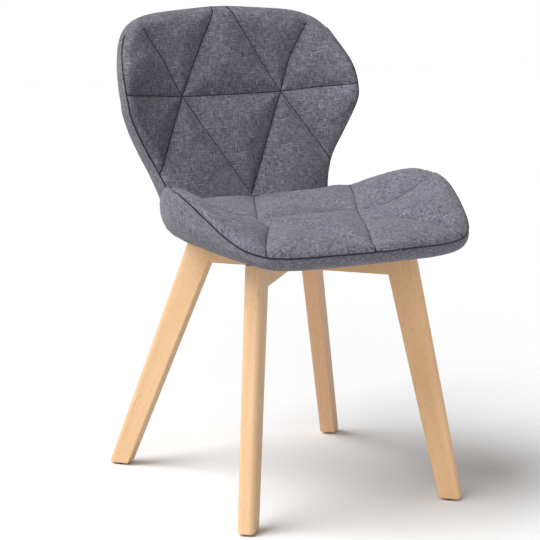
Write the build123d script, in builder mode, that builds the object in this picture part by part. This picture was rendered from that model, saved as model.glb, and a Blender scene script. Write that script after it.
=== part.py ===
from build123d import *
from math import atan, copysign, cos, radians, sin
import os

# Upholstered dining chair: two padded shells on an X frame with splayed beech legs.
# Y points to the back of the chair and Z up. The origin is on the floor.
# Left and right are as seen from the front, with X to the right.
# All sizes are in millimetres.

# Base frame
frame_top = 386.0
base_centre_y = 3.8
base_angle = 47.2
front_foot_reach = 271.6
rear_foot_reach = 286.9
front_top_reach = 181.0
rear_top_reach = 136.5
front_foot_shift = -10.7
rear_foot_shift = 3.0
leg_thick = 26.0
leg_top_width = 46.0
leg_foot_width = 32.0
leg_round = 8.0
leg_ease = 2.0
foot_chamfer = 2.0
rail_height = 39.0
rail_thick = 22.0
dowel_diameter = 8.0
dowel_length = 36.0
dowel_margin = 10.0

# Floor glides
glide_diameter = 17.0
glide_height = 3.0
nail_diameter = 2.4
nail_head_diameter = 6.0
nail_head_height = 1.0
nail_length = 16.0

# Fasteners, M6
thread_diameter = 6.0
bolt_head_diameter = 12.0
bolt_head_height = 4.0
washer_diameter = 14.0
washer_height = 1.5
counterbore_depth = 9.0
bolt_clearance = 0.4
nut_flange_diameter = 19.0
nut_flange_height = 1.2
nut_barrel_diameter = 8.0
nut_barrel_length = 7.0
frame_bolt_reach = 70.0

# Upholstery layers
quilt_thick = 8.0
lining_thick = 2.5
foam_under = 2.0
seat_ply_thick = 11.0
back_ply_thick = 9.0
back_foam_depth = 14.0
ply_edge_margin = 18.0
dust_cover_thick = 1.2
dust_cover_width = 150.0
dust_cover_length = 250.0
dust_cover_corner = 12.0
dust_cover_y = -45.0

# Cushion edges: rounded over to a seam, with the sides below it drawn in
flat_half = 80.0
rim_round = 13.0
seam_drop = 11.0
seat_drawn_in = 4.0
back_drawn_in = 0.5
full_depth = 34.0
full_panel = 60.0
least_panel = 3.0
least_bow = 0.2

# Seat block: underside at the frame, crown above it, wings turned up at both sides
seat_depth = 60.0
seat_tuft = (87.0, -64.0)
seat_front_seams = [(0.0, -259.0), (176.0, -228.0)]
seat_rear_seams = [(0.0, 118.0), (140.0, 105.0)]

# Seat stations, front to rear: y, half width, crown drop, wing rise, underside lift and rise, puff, seam depth
seat_stations = [
    (-259.0, 45.0, 34.0, 0.5, 14.0, 0.5, 0.4, 0.2),
    (-254.0, 108.0, 24.0, 1.0, 11.0, 2.0, 1.5, 1.5),
    (-243.0, 150.0, 18.0, 2.0, 8.0, 6.0, 3.0, 3.0),
    (-222.0, 181.0, 13.0, 5.0, 5.0, 15.0, 4.0, 4.0),
    (-195.0, 200.0, 9.0, 12.0, 2.0, 25.0, 5.0, 5.0),
    (-150.0, 215.0, 6.0, 31.0, 0.0, 36.0, 5.0, 5.0),
    (-100.0, 226.0, 4.0, 53.0, 0.0, 44.0, 4.0, 5.0),
    (-64.0, 228.5, 3.0, 61.0, 0.0, 49.0, -4.5, 5.0),
    (-30.0, 226.0, 2.0, 60.0, 0.0, 47.0, 4.0, 5.0),
    (25.0, 210.0, 0.0, 43.0, 0.0, 37.0, 5.0, 5.0),
    (70.0, 186.0, 0.0, 20.0, 0.0, 20.0, 4.0, 5.0),
    (118.0, 152.0, 2.0, 3.0, 0.0, 6.0, -2.0, 2.0),
]

# Back panel: leans back from the crease, wings turned forward at both sides
back_depth = 43.3
back_clearance = 0.3
crease_y = 118.0
crease_rise = 62.0
neck_slope = 0.45
back_tuft = (89.0, 154.0)
back_lower_seams = [(0.0, 4.0), (155.0, 37.0)]
back_upper_seams = [(14.0, 291.0), (156.0, 277.0)]

# Back stations, foot to top: height above the crease, half width, curl out of the lean, wing turn, thinning
# (below nothing where the neck is fuller), puff, seam depth
back_stations = [
    (-53.0, 138.0, 0.0, 0.5, -30.0, 0.3, 0.2),
    (-42.0, 138.0, 0.0, 0.5, -30.0, 0.3, 0.2),
    (-20.0, 139.0, 0.0, 0.5, -30.0, 0.3, 0.2),
    (4.0, 142.5, 0.0, 0.5, -30.0, 0.3, 1.0),
    (43.0, 157.0, 0.0, 4.0, -28.0, 3.5, 4.5),
    (92.0, 184.0, 0.0, 25.0, -19.0, 5.0, 5.0),
    (130.0, 202.0, 0.0, 46.0, -9.0, 4.0, 5.0),
    (154.0, 207.0, 0.8, 56.0, -4.0, -4.5, 5.0),
    (180.0, 207.5, 3.2, 56.0, -1.0, 4.0, 5.0),
    (203.0, 204.0, 7.4, 48.0, 0.0, 5.0, 5.0),
    (233.0, 193.0, 13.9, 31.0, 0.0, 5.0, 5.0),
    (255.0, 180.0, 18.4, 21.0, 0.0, 4.0, 4.0),
    (272.0, 159.0, 21.0, 14.0, 4.0, 3.0, 3.0),
    (284.0, 123.0, 21.0, 7.0, 14.0, 1.6, 1.6),
    (292.0, 60.0, 18.0, 0.5, 27.0, 0.3, 0.2),
]

# Joints between the runs of stations that are lofted together, and the first and last stations of the boards
seat_joints = (-259.0, -222.0, -64.0, 118.0)
back_joints = (-53.0, 4.0, 154.0, 255.0, 292.0)
seat_board_span = (-222.0, 70.0)
back_board_span = (-42.0, 255.0)

# Angle brackets that carry the back on the seat board
bracket_offset = 90.0
bracket_width = 30.0
bracket_thick = 4.0
bracket_bend = 10.0
bracket_front_y = 2.0
bracket_rise = 40.0
bracket_seat_bolts = (16.0, 50.0)
bracket_back_bolts = (-18.0, 22.0)

# Worked out from the sizes above
seat_crown = frame_top + seat_depth
crease_z = frame_top + crease_rise
rail_bottom = frame_top - rail_height
seat_ply_under = frame_top + lining_thick + foam_under
seat_ply_top = seat_ply_under + seat_ply_thick
back_ply_front = quilt_thick + back_foam_depth
seat_end = crease_y
thread_radius = thread_diameter / 2

os.makedirs("parts", exist_ok=True)


def save(piece, name):
    piece.part.label = name
    export_step(piece.part, f"parts/{name}.step")


def leg_reach(z, foot_reach, top_reach):
    """Distance of a leg's centre line from the middle of the frame at height z."""
    return foot_reach + (top_reach - foot_reach) * (z - glide_height) / (frame_top - glide_height)


def leg_width(z, foot_reach, top_reach):
    """Level width of a leg's broad face at height z."""
    splay = atan((foot_reach - top_reach) / (frame_top - glide_height))
    share = (z - glide_height) / (frame_top - glide_height)
    return (leg_foot_width + (leg_top_width - leg_foot_width) * share) / cos(splay)


def leg_inner(z, foot_reach, top_reach):
    return leg_reach(z, foot_reach, top_reach) - leg_width(z, foot_reach, top_reach) / 2


def diagonal(side_x, side_y):
    """Level direction from the middle of the frame to one leg."""
    return Vector(side_x * cos(radians(base_angle)), side_y * sin(radians(base_angle)), 0)


def diagonal_point(side_x, side_y, reach, z):
    return Vector(0, base_centre_y, z) + diagonal(side_x, side_y) * reach


def foot_point(side_x, side_y, reach, shift, z):
    """Middle of a foot, which stands a little to one side of the diagonal."""
    sideways = Vector(side_x * sin(radians(base_angle)), -side_y * cos(radians(base_angle)), 0)
    return diagonal_point(side_x, side_y, reach, z) + sideways * shift


def leg_shift(z, foot_shift):
    """Distance of a leg's centre line from the diagonal at height z."""
    return foot_shift * (frame_top - z) / (frame_top - glide_height)


# Legs: name, side, front or rear, reach at the foot and at the top, sideways shift of the foot
legs = [
    ("front_left", -1, -1, front_foot_reach, front_top_reach, front_foot_shift),
    ("front_right", 1, -1, front_foot_reach, front_top_reach, front_foot_shift),
    ("rear_left", -1, 1, rear_foot_reach, rear_top_reach, rear_foot_shift),
    ("rear_right", 1, 1, rear_foot_reach, rear_top_reach, rear_foot_shift),
]

# Dowels: two in each leg, level, half in the leg and half in the rail
dowel_heights = (rail_bottom + dowel_margin, frame_top - dowel_margin)
with BuildPart() as rail_dowels:
    for name, side_x, side_y, foot_reach, top_reach, foot_shift in legs:
        for z in dowel_heights:
            joint = diagonal_point(side_x, side_y, leg_inner(z, foot_reach, top_reach), z)
            with Locations(Plane(joint, z_dir=diagonal(side_x, side_y))):
                Cylinder(dowel_diameter / 2, dowel_length)
save(rail_dowels, "rail_dowels")

# Glide nails: one up the middle of each foot
with BuildPart() as glide_nails:
    for name, side_x, side_y, foot_reach, top_reach, foot_shift in legs:
        foot = foot_point(side_x, side_y, foot_reach, foot_shift, 0)
        with BuildSketch(Plane.XY.offset(glide_height - nail_head_height)):
            with Locations((foot.X, foot.Y)):
                Circle(nail_head_diameter / 2)
        extrude(amount=nail_head_height)
        with BuildSketch(Plane.XY.offset(glide_height - nail_head_height)):
            with Locations((foot.X, foot.Y)):
                Circle(nail_diameter / 2)
        extrude(amount=nail_length)
save(glide_nails, "glide_nails")

# Legs: straight tapered bars with a rounded outer edge and an eased foot, leaning out along the diagonals
leg_levels = [(glide_height, foot_chamfer), (glide_height + foot_chamfer, 0.0), (frame_top, 0.0)]
for name, side_x, side_y, foot_reach, top_reach, foot_shift in legs:
    with BuildPart() as leg:
        for z, inset in leg_levels:
            level = Plane((0, base_centre_y, z), x_dir=diagonal(side_x, side_y), z_dir=(0, 0, 1))
            with BuildSketch(level) as section:
                aside = -side_x * side_y * leg_shift(z, foot_shift)
                with Locations((leg_reach(z, foot_reach, top_reach), aside)):
                    Rectangle(leg_width(z, foot_reach, top_reach) - 2 * inset, leg_thick - 2 * inset)
                fillet(section.vertices().group_by(Axis.X)[-1], leg_round)
                fillet(section.vertices().group_by(Axis.X)[0], leg_ease)
        loft(ruled=True)
        add(rail_dowels.part, mode=Mode.SUBTRACT)
        add(glide_nails.part, mode=Mode.SUBTRACT)
    save(leg, f"leg_{name}")

    with BuildPart() as glide:
        foot = foot_point(side_x, side_y, foot_reach, foot_shift, glide_height / 2)
        with Locations(foot):
            Cylinder(glide_diameter / 2, glide_height)
        chamfer(glide.edges().sort_by(Axis.Z)[0], glide_height / 4)
        add(glide_nails.part, mode=Mode.SUBTRACT)
    save(glide, f"glide_{name}")


def rail_bar(side_x):
    """A full rail from the rear leg on one side to the front leg on the other."""
    along = diagonal(side_x, -1)
    upright = Plane((0, base_centre_y, 0), x_dir=along, z_dir=along.cross(Vector(0, 0, 1)))
    with BuildPart() as bar:
        with BuildSketch(upright):
            with BuildLine():
                Polyline(
                    (-leg_inner(rail_bottom, rear_foot_reach, rear_top_reach), rail_bottom),
                    (leg_inner(rail_bottom, front_foot_reach, front_top_reach), rail_bottom),
                    (leg_inner(frame_top, front_foot_reach, front_top_reach), frame_top),
                    (-leg_inner(frame_top, rear_foot_reach, rear_top_reach), frame_top),
                    close=True,
                )
            make_face()
        extrude(amount=rail_thick / 2, both=True)
    return bar.part


def half_of(bar, keep):
    with BuildPart() as half:
        add(bar)
        split(bisect_by=Plane.XY.offset(frame_top - rail_height / 2), keep=keep)
    return half.part


# Rails: two diagonals half lapped where they cross, with counterbored holes for the seat bolts
lower_bar = rail_bar(1)
upper_bar = rail_bar(-1)
for name, side_x, bar, housing in (
    ("rail_lower", 1, lower_bar, half_of(upper_bar, Keep.TOP)),
    ("rail_upper", -1, upper_bar, half_of(lower_bar, Keep.BOTTOM)),
):
    with BuildPart() as rail:
        add(bar)
        add(housing, mode=Mode.SUBTRACT)
        add(rail_dowels.part, mode=Mode.SUBTRACT)
        for end in (-1, 1):
            hole = diagonal_point(side_x * end, -end, frame_bolt_reach, rail_bottom)
            with Locations(Plane(hole, z_dir=(0, 0, -1))):
                CounterBoreHole(
                    thread_radius + bolt_clearance,
                    washer_diameter / 2 + bolt_clearance,
                    counterbore_depth,
                )
    save(rail, name)


def bolt(grip):
    """Button head bolt along -Z: the underside of its head is at the origin."""
    with BuildPart() as shape:
        with BuildSketch(Plane.XZ):
            with BuildLine():
                Polyline(
                    (0, -grip),
                    (thread_radius, -grip),
                    (thread_radius, 0),
                    (bolt_head_diameter / 2, 0),
                    (bolt_head_diameter / 2, bolt_head_height / 2),
                )
                ThreePointArc(
                    (bolt_head_diameter / 2, bolt_head_height / 2),
                    (bolt_head_diameter * 0.38, bolt_head_height * 0.86),
                    (bolt_head_diameter / 5, bolt_head_height),
                )
                Polyline((bolt_head_diameter / 5, bolt_head_height), (0, bolt_head_height), (0, -grip))
            make_face()
        revolve(axis=Axis.Z)
    return shape.part


def tee_nut():
    """Tee nut along -Z: its flange lies just above the origin and its barrel below."""
    with BuildPart() as shape:
        with BuildSketch(Plane.XZ):
            with BuildLine():
                Polyline(
                    (thread_radius, -nut_barrel_length),
                    (nut_barrel_diameter / 2, -nut_barrel_length),
                    (nut_barrel_diameter / 2, 0),
                    (nut_flange_diameter / 2, 0),
                    (nut_flange_diameter / 2, nut_flange_height),
                    (thread_radius, nut_flange_height),
                    close=True,
                )
            make_face()
        revolve(axis=Axis.Z)
    return shape.part


# Seat bolts: up through the rails into tee nuts on the seat board
bolt_seat_z = rail_bottom + counterbore_depth
bolt_spots = [diagonal_point(x, y, frame_bolt_reach, 0) for x in (-1, 1) for y in (-1, 1)]
frame_grip = seat_ply_top + nut_flange_height - bolt_seat_z + washer_height
with BuildPart() as seat_bolts:
    for spot in bolt_spots:
        with Locations(Plane((spot.X, spot.Y, bolt_seat_z - washer_height), z_dir=(0, 0, -1))):
            add(bolt(frame_grip))
save(seat_bolts, "seat_bolts")

with BuildPart() as seat_washers:
    for spot in bolt_spots:
        with Locations((spot.X, spot.Y, bolt_seat_z - washer_height / 2)):
            Cylinder(washer_diameter / 2, washer_height)
            Cylinder(thread_radius, washer_height, mode=Mode.SUBTRACT)
save(seat_washers, "seat_washers")

with BuildPart() as seat_tee_nuts:
    for spot in bolt_spots:
        with Locations((spot.X, spot.Y, seat_ply_top)):
            add(tee_nut())
save(seat_tee_nuts, "seat_tee_nuts")


def board_front(z):
    """Y of the back board's front face near the crease."""
    return crease_y + back_ply_front + (z - crease_z) * neck_slope


# Brackets: flat steel bent along the seat board and up the back board, let into the boards a little
let_in = 0.3
neck_lean = atan(neck_slope)
bracket_level = bracket_thick / cos(neck_lean)
bracket_top = crease_z + bracket_rise
bracket_under = seat_ply_top - let_in
bracket_over = bracket_under + bracket_thick
bracket_back = let_in / cos(neck_lean)
with BuildPart() as seat_bracket:
    with BuildSketch(Plane.YZ):
        with BuildLine():
            under = FilletPolyline(
                (bracket_front_y, bracket_under),
                (board_front(bracket_under) + bracket_back, bracket_under),
                (board_front(bracket_top) + bracket_back, bracket_top),
                radius=bracket_bend + bracket_thick,
            )
            over = FilletPolyline(
                (bracket_front_y, bracket_over),
                (board_front(bracket_over) + bracket_back - bracket_level, bracket_over),
                (board_front(bracket_top) + bracket_back - bracket_level, bracket_top),
                radius=bracket_bend,
            )
            Line(under @ 0, over @ 0)
            Line(under @ 1, over @ 1)
        make_face()
    extrude(amount=bracket_width / 2, both=True)

# Bracket bolts: heads on the brackets, tee nuts let in flush under the seat board and behind the back board
front_normal = Vector(0, -1, neck_slope).normalized()
seat_grip = seat_ply_thick - let_in + bracket_thick
back_grip = back_ply_thick * cos(neck_lean) - let_in + bracket_thick
bolt_frames = []
nut_frames = []
for side in (-1, 1):
    for y in bracket_seat_bolts:
        bolt_frames.append((Plane((side * bracket_offset, y, bracket_over)), seat_grip))
        nut_under = (side * bracket_offset, y, seat_ply_under + nut_flange_height)
        nut_frames.append(Plane(nut_under, z_dir=(0, 0, -1)))
    for rise in bracket_back_bolts:
        z = crease_z + rise
        face = Vector(side * bracket_offset, board_front(z), z)
        bolt_frames.append((Plane(face + front_normal * (bracket_thick - let_in), z_dir=front_normal), back_grip))
        rear = face - front_normal * (back_ply_thick * cos(neck_lean) - nut_flange_height)
        nut_frames.append(Plane(rear, z_dir=-front_normal))

with BuildPart() as bracket_bolts:
    for frame, grip in bolt_frames:
        with Locations(frame):
            add(bolt(grip))
save(bracket_bolts, "bracket_bolts")

with BuildPart() as bracket_tee_nuts:
    for frame in nut_frames:
        with Locations(frame):
            add(tee_nut())
save(bracket_tee_nuts, "bracket_tee_nuts")

for name, side in (("bracket_left", -1), ("bracket_right", 1)):
    with BuildPart() as bracket:
        with Locations((side * bracket_offset, 0, 0)):
            add(seat_bracket.part)
        add(bracket_bolts.part, mode=Mode.SUBTRACT)
    save(bracket, name)

with BuildPart() as brackets:
    with Locations((-bracket_offset, 0, 0), (bracket_offset, 0, 0)):
        add(seat_bracket.part)


def wing(x, half_width, flat, level, rise):
    """Height of a face at x: flat in the middle, then curving up to its rise at the half width."""
    return level + rise * (max(0, abs(x) - flat) / (half_width - flat)) ** 2


def bow(start, over, end):
    """Arc between two points that passes over a third, kept clear of a straight line."""
    chord_level = start[1] + (end[1] - start[1]) * (over[0] - start[0]) / (end[0] - start[0])
    sag = over[1] - chord_level
    return ThreePointArc(start, (over[0], chord_level + copysign(max(abs(sag), least_bow), sag)), end)


def corner_arc(start, corner, end):
    """Arc that rounds a corner between two points."""
    middle = tuple(start[i] / 4 + corner[i] / 2 + end[i] / 4 for i in (0, 1))
    return ThreePointArc(start, middle, end)


class Section:
    """Layers of a cushion at one station, drawn with the padded face up."""

    def __init__(self, plane, half_width, level, rise, far_level, far_rise, seams, puff, sink, drawn_in):
        share = min(1, (level - far_level) / full_depth)
        fall = rim_round * share
        self.plane = plane
        self.half_width = half_width
        self.level = level
        self.rise = rise
        self.far_level = far_level
        self.far_rise = far_rise
        self.puff = puff
        self.sink = sink
        self.flat = min(flat_half, half_width * 0.6)
        self.quilt = quilt_thick * share
        self.lining = lining_thick * share
        brink = half_width - fall
        outer = min(max(seams[1], seams[0] + least_panel), brink - least_panel)
        self.stops = [-brink, -outer, -seams[0], seams[0], outer, brink]
        self.seam = self.face(half_width) - seam_drop * share
        self.corner = (half_width, self.face(half_width))
        self.inside = half_width - self.quilt
        self.foot = half_width - drawn_in * share
        self.heel = half_width - fall
        self.foot_level = self.under(self.foot) + fall / 2

    def face(self, x):
        return wing(x, self.half_width, self.flat, self.level, self.rise)

    def under(self, x):
        return wing(x, self.half_width, self.flat, self.far_level, self.far_rise)

    def panels(self):
        """Quilted face from edge seam to edge seam: arcs that rise between the sewn lines."""
        edge = self.half_width
        levels = [self.face(x) - self.sink for x in self.stops]
        levels[0] = self.face(self.stops[0])
        levels[-1] = levels[0]
        stops = list(zip(self.stops, levels))
        corner_arc((-edge, self.seam), (-self.corner[0], self.corner[1]), stops[0])
        for near, far in zip(stops, stops[1:]):
            x = (near[0] + far[0]) / 2
            swell = self.puff * min(1, (far[0] - near[0]) / full_panel)
            lowest = (near[1] + far[1]) / 2 if far[0] - near[0] < full_panel / 2 else self.face(x)
            bow(near, (x, lowest + swell), far)
        corner_arc(stops[-1], self.corner, (edge, self.seam))

    def inner_face(self):
        """Underside of the quilted cover, from side to side."""
        top = self.level - self.quilt
        middle = (self.flat + self.inside) / 2
        level = wing(middle, self.inside, self.flat, top, self.seam - top)
        bow((-self.inside, self.seam), (-middle, level), (-self.flat, top))
        Line((-self.flat, top), (self.flat, top))
        bow((self.flat, top), (middle, level), (self.inside, self.seam))

    def inner_under(self):
        """Upper side of the lining, with the sides of the foam up to the seams."""
        low = self.far_level + self.lining
        side = self.under(self.inside) + self.lining
        middle = (self.flat + self.inside) / 2
        level = self.under(middle) + self.lining
        Line((self.inside, self.seam), (self.inside, side))
        bow((self.inside, side), (middle, level), (self.flat, low))
        Line((self.flat, low), (-self.flat, low))
        bow((-self.flat, low), (-middle, level), (-self.inside, side))
        Line((-self.inside, side), (-self.inside, self.seam))

    def outer_under(self):
        """Drawn-in sides and underside of the cushion."""
        middle = (self.flat + self.heel) / 2
        heel = (self.heel, self.under(self.heel))
        foot = (self.foot, self.foot_level)
        corner = (self.foot, self.under(self.foot))
        Line((self.half_width, self.seam), foot)
        corner_arc(foot, corner, heel)
        bow(heel, (middle, self.under(middle)), (self.flat, self.far_level))
        Line((self.flat, self.far_level), (-self.flat, self.far_level))
        bow((-self.flat, self.far_level), (-middle, self.under(middle)), (-heel[0], heel[1]))
        corner_arc((-heel[0], heel[1]), (-corner[0], corner[1]), (-foot[0], foot[1]))
        Line((-foot[0], foot[1]), (-self.half_width, self.seam))

    def seam_allowances(self):
        Line((self.half_width, self.seam), (self.inside, self.seam))
        Line((-self.half_width, self.seam), (-self.inside, self.seam))


def layer(runs, draw):
    """One layer of a cushion, lofted through the sections of each run of stations."""
    with BuildPart() as body:
        for run in runs:
            for section in run:
                with BuildSketch(section.plane):
                    with BuildLine():
                        for line in draw:
                            line(section)
                    make_face()
            loft()
    return body.part


def sewn(position, hub, end):
    """Distance from the middle of a sewn line that runs from a tuft to its end."""
    return hub[0] + (end[0] - hub[0]) * (position - hub[1]) / (end[1] - hub[1])


def sewn_pair(position, hub, inner_end, outer_end):
    return max(least_panel / 2, sewn(position, hub, inner_end)), sewn(position, hub, outer_end)


def seat_section(y, half_width, drop, rise, lift, under_rise, puff, sink):
    """Section of the seat; the last one lies along the face of the back."""
    ends = seat_front_seams if y < seat_tuft[1] else seat_rear_seams
    seams = sewn_pair(y, seat_tuft, *ends)
    crown = seat_crown - drop
    underside = frame_top + lift
    if y < seat_end:
        plane = Plane.XZ.offset(-y)
        return Section(plane, half_width, crown, rise, underside, under_rise, seams, puff, sink, seat_drawn_in)
    lean = cos(neck_lean)
    up = Vector(0, neck_slope, 1).normalized()
    plane = Plane((0, y - back_clearance, crease_z), x_dir=(1, 0, 0), z_dir=Vector(1, 0, 0).cross(up))
    levels = [(crown - crease_z) / lean, rise / lean, (underside - crease_z) / lean, under_rise / lean]
    return Section(plane, half_width, *levels, seams, puff, sink, seat_drawn_in)


def back_section(height, half_width, curl, turn, thinning, puff, sink):
    ends = back_lower_seams if height < back_tuft[1] else back_upper_seams
    seams = sewn_pair(height, back_tuft, *ends)
    face = crease_y + height * neck_slope - curl
    plane = Plane((0, 0, crease_z + height), x_dir=(-1, 0, 0), z_dir=(0, 0, 1))
    rear = face + back_depth - thinning
    return Section(plane, half_width, -face, turn, -rear, turn, seams, puff, sink, back_drawn_in)


def sections(stations, make, first, last):
    return [make(*station) for station in stations if first <= station[0] <= last]


def runs_of(stations, make, joints):
    """Sections in short runs, each of which starts where the one before it ends."""
    return [sections(stations, make, *pair) for pair in zip(joints, joints[1:])]


def board(run, lift, thick, margin):
    """Bent plywood that follows the underside of a cushion, lifted off it at each section."""
    with BuildPart() as body:
        for section in run:
            low = lift(section)
            flat = section.flat
            side = section.half_width - margin
            middle = (flat + side) / 2
            with BuildSketch(section.plane):
                with BuildLine():
                    for raise_by in (low, low + thick):
                        level = section.far_level + raise_by
                        for turn in (-1, 1):
                            bow(
                                (turn * flat, level),
                                (turn * middle, section.under(middle) + raise_by),
                                (turn * side, section.under(side) + raise_by),
                            )
                        Line((-flat, level), (flat, level))
                    for turn in (-1, 1):
                        edge = section.under(side) + low
                        Line((turn * side, edge), (turn * side, edge + thick))
                make_face()
        loft()
    return body.part


def seat_board_lift(section):
    return lining_thick + foam_under


def back_board_lift(section):
    """Height of the back board over the rear face, so that its front face stays a fixed way behind the quilt."""
    return section.level - section.far_level - back_ply_front - back_ply_thick


quilt = (Section.panels, Section.seam_allowances, Section.inner_face)
foam = (Section.inner_face, Section.inner_under)
wrap = (Section.outer_under, Section.seam_allowances, Section.inner_under)
whole = (Section.panels, Section.outer_under)

# Seat: quilted top, band and lining, and a moulded foam on a bent plywood board
seat_runs = runs_of(seat_stations, seat_section, seat_joints)
seat_board_run = sections(seat_stations, seat_section, *seat_board_span)
with BuildPart() as seat_plywood:
    add(board(seat_board_run, seat_board_lift, seat_ply_thick, ply_edge_margin))
    for piece in (seat_bolts, seat_tee_nuts, bracket_bolts, bracket_tee_nuts, brackets):
        add(piece.part, mode=Mode.SUBTRACT)
save(seat_plywood, "seat_plywood")

with BuildPart() as seat_foam:
    add(layer(seat_runs, foam))
    for piece in (seat_plywood, seat_tee_nuts, seat_bolts, bracket_bolts, bracket_tee_nuts, brackets):
        add(piece.part, mode=Mode.SUBTRACT)
save(seat_foam, "seat_foam")

with BuildPart() as seat_cover_top:
    add(layer(seat_runs, quilt))
save(seat_cover_top, "seat_cover_top")

with BuildPart() as dust_cover:
    with BuildSketch(Plane.XY.offset(frame_top)):
        with Locations((0, dust_cover_y)):
            RectangleRounded(dust_cover_width, dust_cover_length, dust_cover_corner)
    extrude(amount=dust_cover_thick)
    add(seat_bolts.part, mode=Mode.SUBTRACT)
save(dust_cover, "dust_cover")

with BuildPart() as seat_cover_band:
    add(layer(seat_runs, wrap))
    with BuildSketch(Plane.XY.offset(frame_top - dust_cover_thick)):
        with Locations((0, dust_cover_y)):
            RectangleRounded(dust_cover_width, dust_cover_length, dust_cover_corner)
    extrude(amount=2 * dust_cover_thick, mode=Mode.SUBTRACT)
    add(seat_bolts.part, mode=Mode.SUBTRACT)
save(seat_cover_band, "seat_cover_band")

# Back: quilted front, plain rear cover, a closed foot, and a moulded foam on a bent plywood board
back_runs = runs_of(back_stations, back_section, back_joints)
back_board_run = sections(back_stations, back_section, *back_board_span)
with BuildPart() as back_plywood:
    add(board(back_board_run, back_board_lift, back_ply_thick, ply_edge_margin))
    for piece in (bracket_bolts, bracket_tee_nuts, brackets):
        add(piece.part, mode=Mode.SUBTRACT)
save(back_plywood, "back_plywood")

with BuildPart() as back_foam:
    add(layer(back_runs, foam))
    for piece in (back_plywood, bracket_bolts, bracket_tee_nuts, brackets):
        add(piece.part, mode=Mode.SUBTRACT)
save(back_foam, "back_foam")

with BuildPart() as back_cover_front:
    add(layer(back_runs, quilt))
    add(brackets.part, mode=Mode.SUBTRACT)
save(back_cover_front, "back_cover_front")

with BuildPart() as back_cover_rear:
    add(layer(back_runs, wrap))
save(back_cover_rear, "back_cover_rear")

with BuildPart() as back_foot_lining:
    with BuildSketch(back_runs[0][0].plane):
        with BuildLine():
            for line in whole:
                line(back_runs[0][0])
        make_face()
    extrude(amount=-lining_thick / 2)
save(back_foot_lining, "back_foot_lining")
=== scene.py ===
# %% [markdown]
# # An upholstered dining chair
# The chair stands on four splayed beech legs. Its seat and its back are two padded shells, each covered in
# a grey linen cloth that is sewn in triangles. The rigid pieces come ready made from the CAD frame, so this
# lesson only dresses them in wood and metal. The cushions are soft, so they are built again here as cloth
# over foam.

# %% Load the frame
from math import copysign, cos, exp, radians
from types import SimpleNamespace

import bmesh
import bpy
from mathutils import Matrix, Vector
from mathutils.geometry import delaunay_2d_cdt


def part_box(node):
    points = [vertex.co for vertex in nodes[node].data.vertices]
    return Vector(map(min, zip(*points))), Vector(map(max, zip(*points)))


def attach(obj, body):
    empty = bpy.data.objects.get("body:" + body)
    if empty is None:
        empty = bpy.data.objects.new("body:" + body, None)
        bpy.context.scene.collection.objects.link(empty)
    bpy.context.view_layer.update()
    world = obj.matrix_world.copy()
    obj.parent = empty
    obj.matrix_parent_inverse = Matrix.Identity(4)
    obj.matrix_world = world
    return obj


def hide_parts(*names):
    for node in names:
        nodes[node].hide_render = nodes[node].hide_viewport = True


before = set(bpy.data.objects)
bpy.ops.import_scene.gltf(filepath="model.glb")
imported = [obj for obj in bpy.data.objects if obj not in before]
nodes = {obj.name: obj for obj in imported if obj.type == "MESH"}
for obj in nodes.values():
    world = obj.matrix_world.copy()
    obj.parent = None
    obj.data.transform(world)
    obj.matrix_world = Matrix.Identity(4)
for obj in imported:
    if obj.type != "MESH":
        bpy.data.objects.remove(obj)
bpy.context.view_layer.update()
scene = bpy.context.scene

# %% [markdown]
# ## Sizes of the two cushions
# A cushion is drawn first as a flat pattern, the way an upholsterer cuts it, and then laid on a bent shell.
# The shell is given by stations, as on a boat's drawing: at each one we know the half width, how far the
# middle lies back or up, and how far the wings turn. They follow the stations of the CAD cushions, so the
# cloth fits the boards inside. At the rear of the seat's wings the edge seam lies in from the rim, and the
# band rolls over it. A smooth curve through the stations gives every size in between.

# %% Stations and smooth curves between them
MM = 0.001
FRAME_TOP, SEAT_CROWN = 0.386, 0.446
CREASE_Y, CREASE_Z = 0.118, 0.448
NECK_SLOPE = 0.45
BACK_DEPTH = 0.0433
FLAT_HALF = 0.080
DUST_ROOM = 0.0012

# y, half width, crown drop, wing rise, underside lift, underside rise,
# inset of the edge seam, depth of the rim
SEAT_STATIONS = [
    (-259, 45, 22, 0.5, 9, 0.5, 0, 11), (-254, 114, 22.5, 1, 6, 2, 0, 11), (-243, 158, 21.5, 2, 4, 6, 0, 11),
    (-222, 185, 17, 5, 3, 15, 0, 11), (-195, 201, 11, 12, 2, 25, 0, 11), (-150, 215, 6, 31, 0, 36, 0.5, 11),
    (-100, 226, 4, 53, 0, 44, 3, 11), (-64, 228.5, 3, 61, 0, 49, 7, 10), (-30, 226, 2, 62, 0, 47, 11, 9),
    (25, 210, 0, 46, 0, 37, 14, 8), (70, 186, 0, 22, 0, 20, 11, 7), (118, 152, 1, 3, 0, 6, 0, 3),
]
# height above the crease, half width, curl out of the lean, wing turn, thinning, depth of the rim
BACK_STATIONS = [
    (-53, 138, 0, 0.5, -30, 11), (-20, 139, 0, 0.5, -30, 11), (4, 142.5, 0, 0.5, -30, 11),
    (43, 157, 0, 4, -28, 11), (92, 184, 0, 25, -19, 11), (130, 202, 0, 46, -9, 11),
    (154, 207, 0.8, 56, -4, 11), (180, 207.5, 3.2, 56, -1, 12), (203, 204, 7.4, 48, 2, 13),
    (233, 193, 13.9, 31, 6, 15), (255, 180, 18.4, 21, 10, 15), (271, 159, 21, 14, 13, 14),
    (281, 123, 21, 7, 18, 12), (286, 62, 19.5, 1, 23, 11), (289, 14, 18.5, 0, 26, 11),
]


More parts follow.
